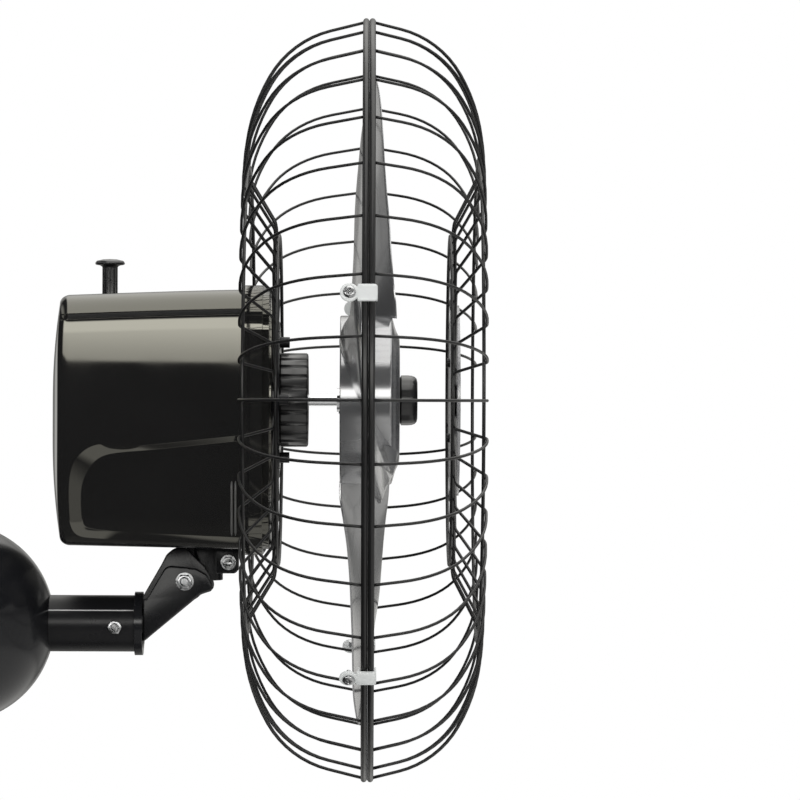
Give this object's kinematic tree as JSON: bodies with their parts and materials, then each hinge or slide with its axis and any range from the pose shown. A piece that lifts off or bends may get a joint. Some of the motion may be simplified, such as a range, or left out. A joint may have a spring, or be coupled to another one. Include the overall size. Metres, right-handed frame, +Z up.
{
  "type": "wall mounted fan",
  "caption": "Wall mounted fan: domed canopy and arm, tilting and swinging motor head, wide-bladed rotor inside a radial wire guard.",
  "frame": {"origin": "on the wall face, on the axis of the arm", "axes": "+Y into the wall, the fan stands out and blows along -Y, +Z up, +X across"},
  "size_m": [0.6488, 0.4535, 0.6488],
  "materials": {
    "black_paint": "gloss enamel, black",
    "black_casting": "semi-gloss enamel on a casting, black",
    "black_plastic": "moulded gloss plastic, black",
    "housing_plastic": "moulded gloss plastic, black",
    "guard_wire": "powder-coated steel wire, black",
    "zinc_steel": "zinc-plated steel",
    "black_steel": "blackened steel",
    "bright_steel": "ground steel",
    "cast_alloy": "die-cast",
    "core_steel": "stacked steel laminations",
    "copper_wire": "varnished copper winding",
    "gear_plastic": "moulded natural plastic",
    "worm_brass": "cut brass",
    "clip_plastic": "moulded plastic, pale grey",
    "badge_plastic": "bare face, satin silver",
    "blade_plastic": "moulded plastic, silver grey",
    "white_plastic": "moulded plastic, white"
  },
  "bodies": {
    "wall_bracket": {"wall_plate": "black_casting", "canopy": "black_paint", "arm_tube": "black_paint", "arm_collar": "black_paint", "yoke": "black_casting", "arm_bolt": "zinc_steel", "pivot_bolt": "zinc_steel"},
    "tilt_knuckle": {"knuckle": "black_casting", "lug_bolt": "zinc_steel", "lever_plate": "zinc_steel"},
    "head": {"swing_post": "bright_steel", "rear_housing": "housing_plastic", "front_cover": "black_plastic", "guard_plate": "black_paint", "guard_screws": "zinc_steel", "guard_nut": "black_plastic", "rear_guard_wires": "guard_wire", "rear_guard_rings": "guard_wire", "front_guard_wires": "guard_wire", "front_guard_rings": "guard_wire", "badge": "badge_plastic", "badge_plate": "zinc_steel", "badge_screws": "zinc_steel", "guard_clips": "clip_plastic", "clip_screws": "zinc_steel", "motor_rear_bell": "cast_alloy", "motor_front_bell": "cast_alloy", "stator_core": "core_steel", "stator_windings": "copper_wire", "bearings": "bright_steel", "tie_bolts": "zinc_steel", "run_capacitor": "white_plastic", "terminal_block": "white_plastic", "gearbox_case": "cast_alloy", "gearbox_lid": "cast_alloy"},
    "rotor": {"shaft": "bright_steel", "rotor_core": "core_steel", "worm": "worm_brass", "hub_collar": "bright_steel", "collar_screw": "black_steel", "fan_blades": "blade_plastic", "blade_nut": "black_plastic"},
    "wheel": {"worm_wheel": "gear_plastic"},
    "crank": {"crank_gear": "gear_plastic"},
    "link": {"link": "zinc_steel"},
    "knob": {"switch_knob": "black_plastic"}
  },
  "joints": [
    {"name": "tilt", "type": "hinge", "parent": "wall_bracket", "child": "tilt_knuckle", "pos_m": [0, -0.2011, 0.0368], "axis": [1, 0, 0], "range_deg": [-5, 30]},
    {"name": "oscillate", "type": "hinge", "parent": "tilt_knuckle", "child": "head", "pos_m": [0, -0.217, 0.06], "axis": [0, 0, 1], "range_deg": [-45, 45]},
    {"name": "rotor_spin", "type": "hinge", "parent": "head", "child": "rotor", "pos_m": [0, -0.356, 0.1908], "axis": [0, -1, 0], "continuous": true},
    {"name": "wheel_spin", "type": "hinge", "parent": "head", "child": "wheel", "pos_m": [0.019, -0.1346, 0.1908], "axis": [0, 0, 1], "continuous": true},
    {"name": "crank_spin", "type": "hinge", "parent": "head", "child": "crank", "pos_m": [0.001, -0.1586, 0.1025], "axis": [0, 0, 1], "continuous": true},
    {"name": "link_swing", "type": "hinge", "parent": "crank", "child": "link", "pos_m": [0.01167, -0.15593, 0.0803], "axis": [0, 0, 1], "continuous": true},
    {"name": "knob_slide", "type": "slide", "parent": "head", "child": "knob", "axis": [0, 0, 1], "range_m": [-0.012, 0]}
  ],
  "couplings": [
    {"joint": "wheel_spin", "follows": "rotor_spin", "ratio": 0.035714},
    {"joint": "crank_spin", "follows": "rotor_spin", "ratio": -0.0071429},
    {"joint": "link_swing", "follows": "rotor_spin", "ratio": 0.0071429}
  ]
}
